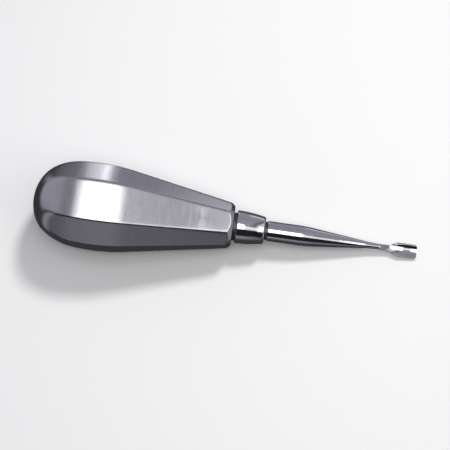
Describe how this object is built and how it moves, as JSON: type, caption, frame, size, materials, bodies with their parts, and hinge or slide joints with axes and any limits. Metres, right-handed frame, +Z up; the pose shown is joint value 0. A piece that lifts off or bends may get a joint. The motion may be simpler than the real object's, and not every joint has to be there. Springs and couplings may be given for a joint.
{
  "type": "dental elevator",
  "caption": "Dental elevator: faceted, hollow, pear-shaped steel handle, polished ferrule, tapered shank and winged gouge blade.",
  "frame": {"origin": "on the surface that the tool lies on, under the middle of its length", "axes": "+X from the butt of the handle towards the tip of the blade, +Z up, on the hollow side of the blade"},
  "size_m": [0.1221, 0.0264, 0.0273],
  "materials": {
    "brushed_handle": "brushed across the tool's length",
    "turned_bush": "turned",
    "polished_ferrule": "mirror polished",
    "polished_forging": "mirror polished"
  },
  "bodies": {
    "root": {"handle_shell_upper": "brushed_handle", "handle_shell_lower": "brushed_handle", "neck_bush": "turned_bush", "ferrule": "polished_ferrule", "blade_and_shank": "polished_forging", "tang_pin": "turned_bush"}
  },
  "joints": []
}
